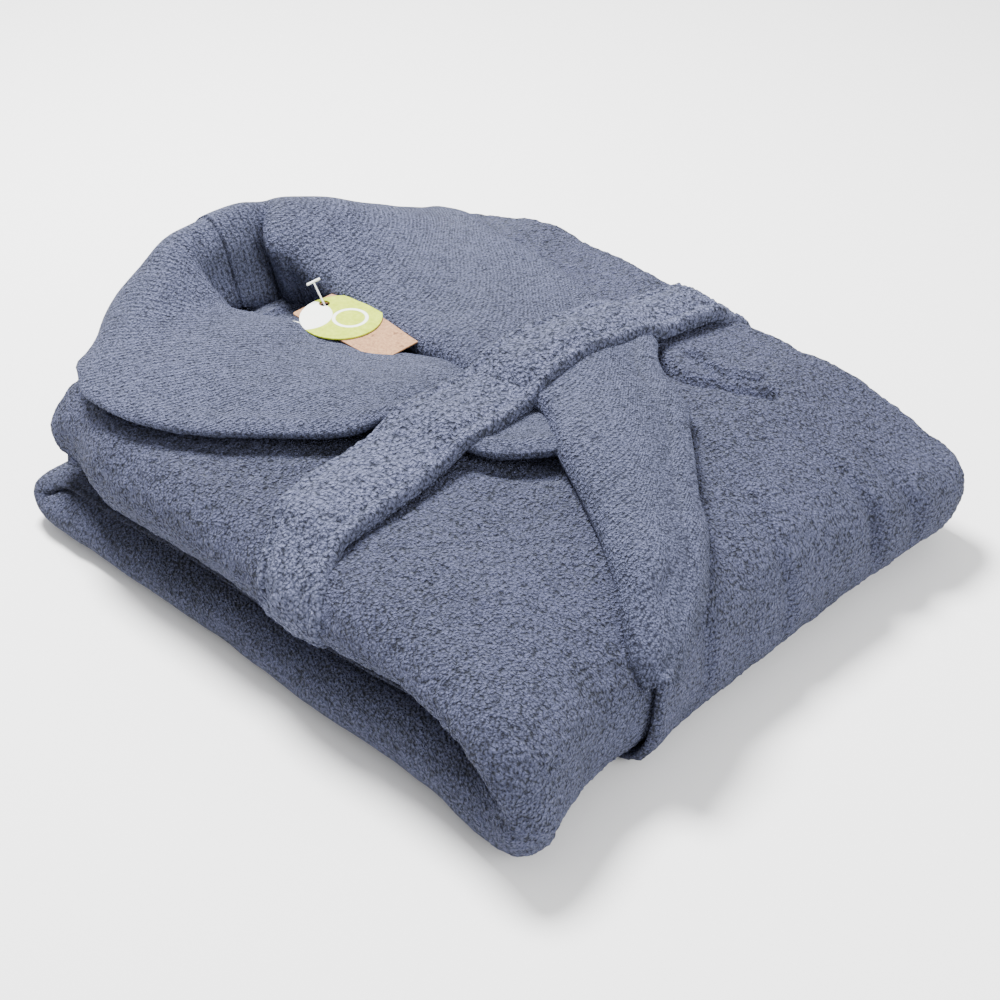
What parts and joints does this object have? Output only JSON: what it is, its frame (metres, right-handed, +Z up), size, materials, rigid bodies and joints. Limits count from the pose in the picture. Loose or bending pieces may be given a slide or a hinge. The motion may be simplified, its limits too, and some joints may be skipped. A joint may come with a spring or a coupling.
{
  "type": "bathrobe",
  "caption": "Folded terry bathrobe with a shawl collar, a tie belt across the pile, patch pockets, a hanger loop and two swing tags at the neck.",
  "frame": {"origin": "on the surface that the pile rests on, under the middle of the pile", "axes": "+X from the collar to the waist fold, +Y towards the wearer's left, +Z up"},
  "size_m": [0.39, 0.3528, 0.124],
  "materials": {
    "terry": "looped cotton terry, blue grey",
    "terry_inside": "looped cotton terry, blue grey, inner side",
    "belt_terry": "looped cotton terry, doubled",
    "tape": "self-coloured woven tape",
    "woven_label": "white satin weave label",
    "kraft_card": "uncoated brown kraft",
    "coated_card": "coated card, lime green and white",
    "nylon": "clear moulded nylon"
  },
  "bodies": {
    "robe": {"back_panel": "terry_inside", "belt_loop_left": "tape", "belt_loop_right": "tape", "collar_left": "terry", "collar_right": "terry", "cuff_left": "terry", "cuff_right": "terry", "front_left": "terry", "front_right": "terry", "neck_facing": "tape", "pocket_left": "terry", "pocket_right": "terry", "sleeve_left": "terry_inside", "sleeve_right": "terry_inside", "tag_pin": "nylon"},
    "belt": {"belt": "belt_terry"},
    "hanger_loop": {"hanger_loop": "tape"},
    "size_label": {"size_label": "woven_label"},
    "hang_tag": {"hang_tag": "kraft_card"},
    "round_tag": {"round_tag": "coated_card"}
  },
  "joints": [
    {"name": "hang_tag_lift", "type": "hinge", "parent": "robe", "child": "hang_tag", "pos_m": [-0.126, -0.01, 0.0932], "axis": [0, -1, 0], "range_deg": [0, 60]},
    {"name": "round_tag_lift", "type": "hinge", "parent": "hang_tag", "child": "round_tag", "pos_m": [-0.12531, -0.01299, 0.0942], "axis": [0, -1, 0], "range_deg": [0, 20]},
    {"name": "size_label_lift", "type": "hinge", "parent": "robe", "child": "size_label", "pos_m": [-0.142, -0.033, 0.078], "axis": [0, -1, 0], "range_deg": [0, 85]},
    {"name": "hanger_loop_lift", "type": "hinge", "parent": "robe", "child": "hanger_loop", "pos_m": [-0.166, -0.044, 0.078], "axis": [0, -1, 0], "range_deg": [0, 80]},
    {"name": "belt_shift", "type": "slide", "parent": "robe", "child": "belt", "axis": [1, 0, 0], "range_m": [-0.006, 0.006]}
  ]
}
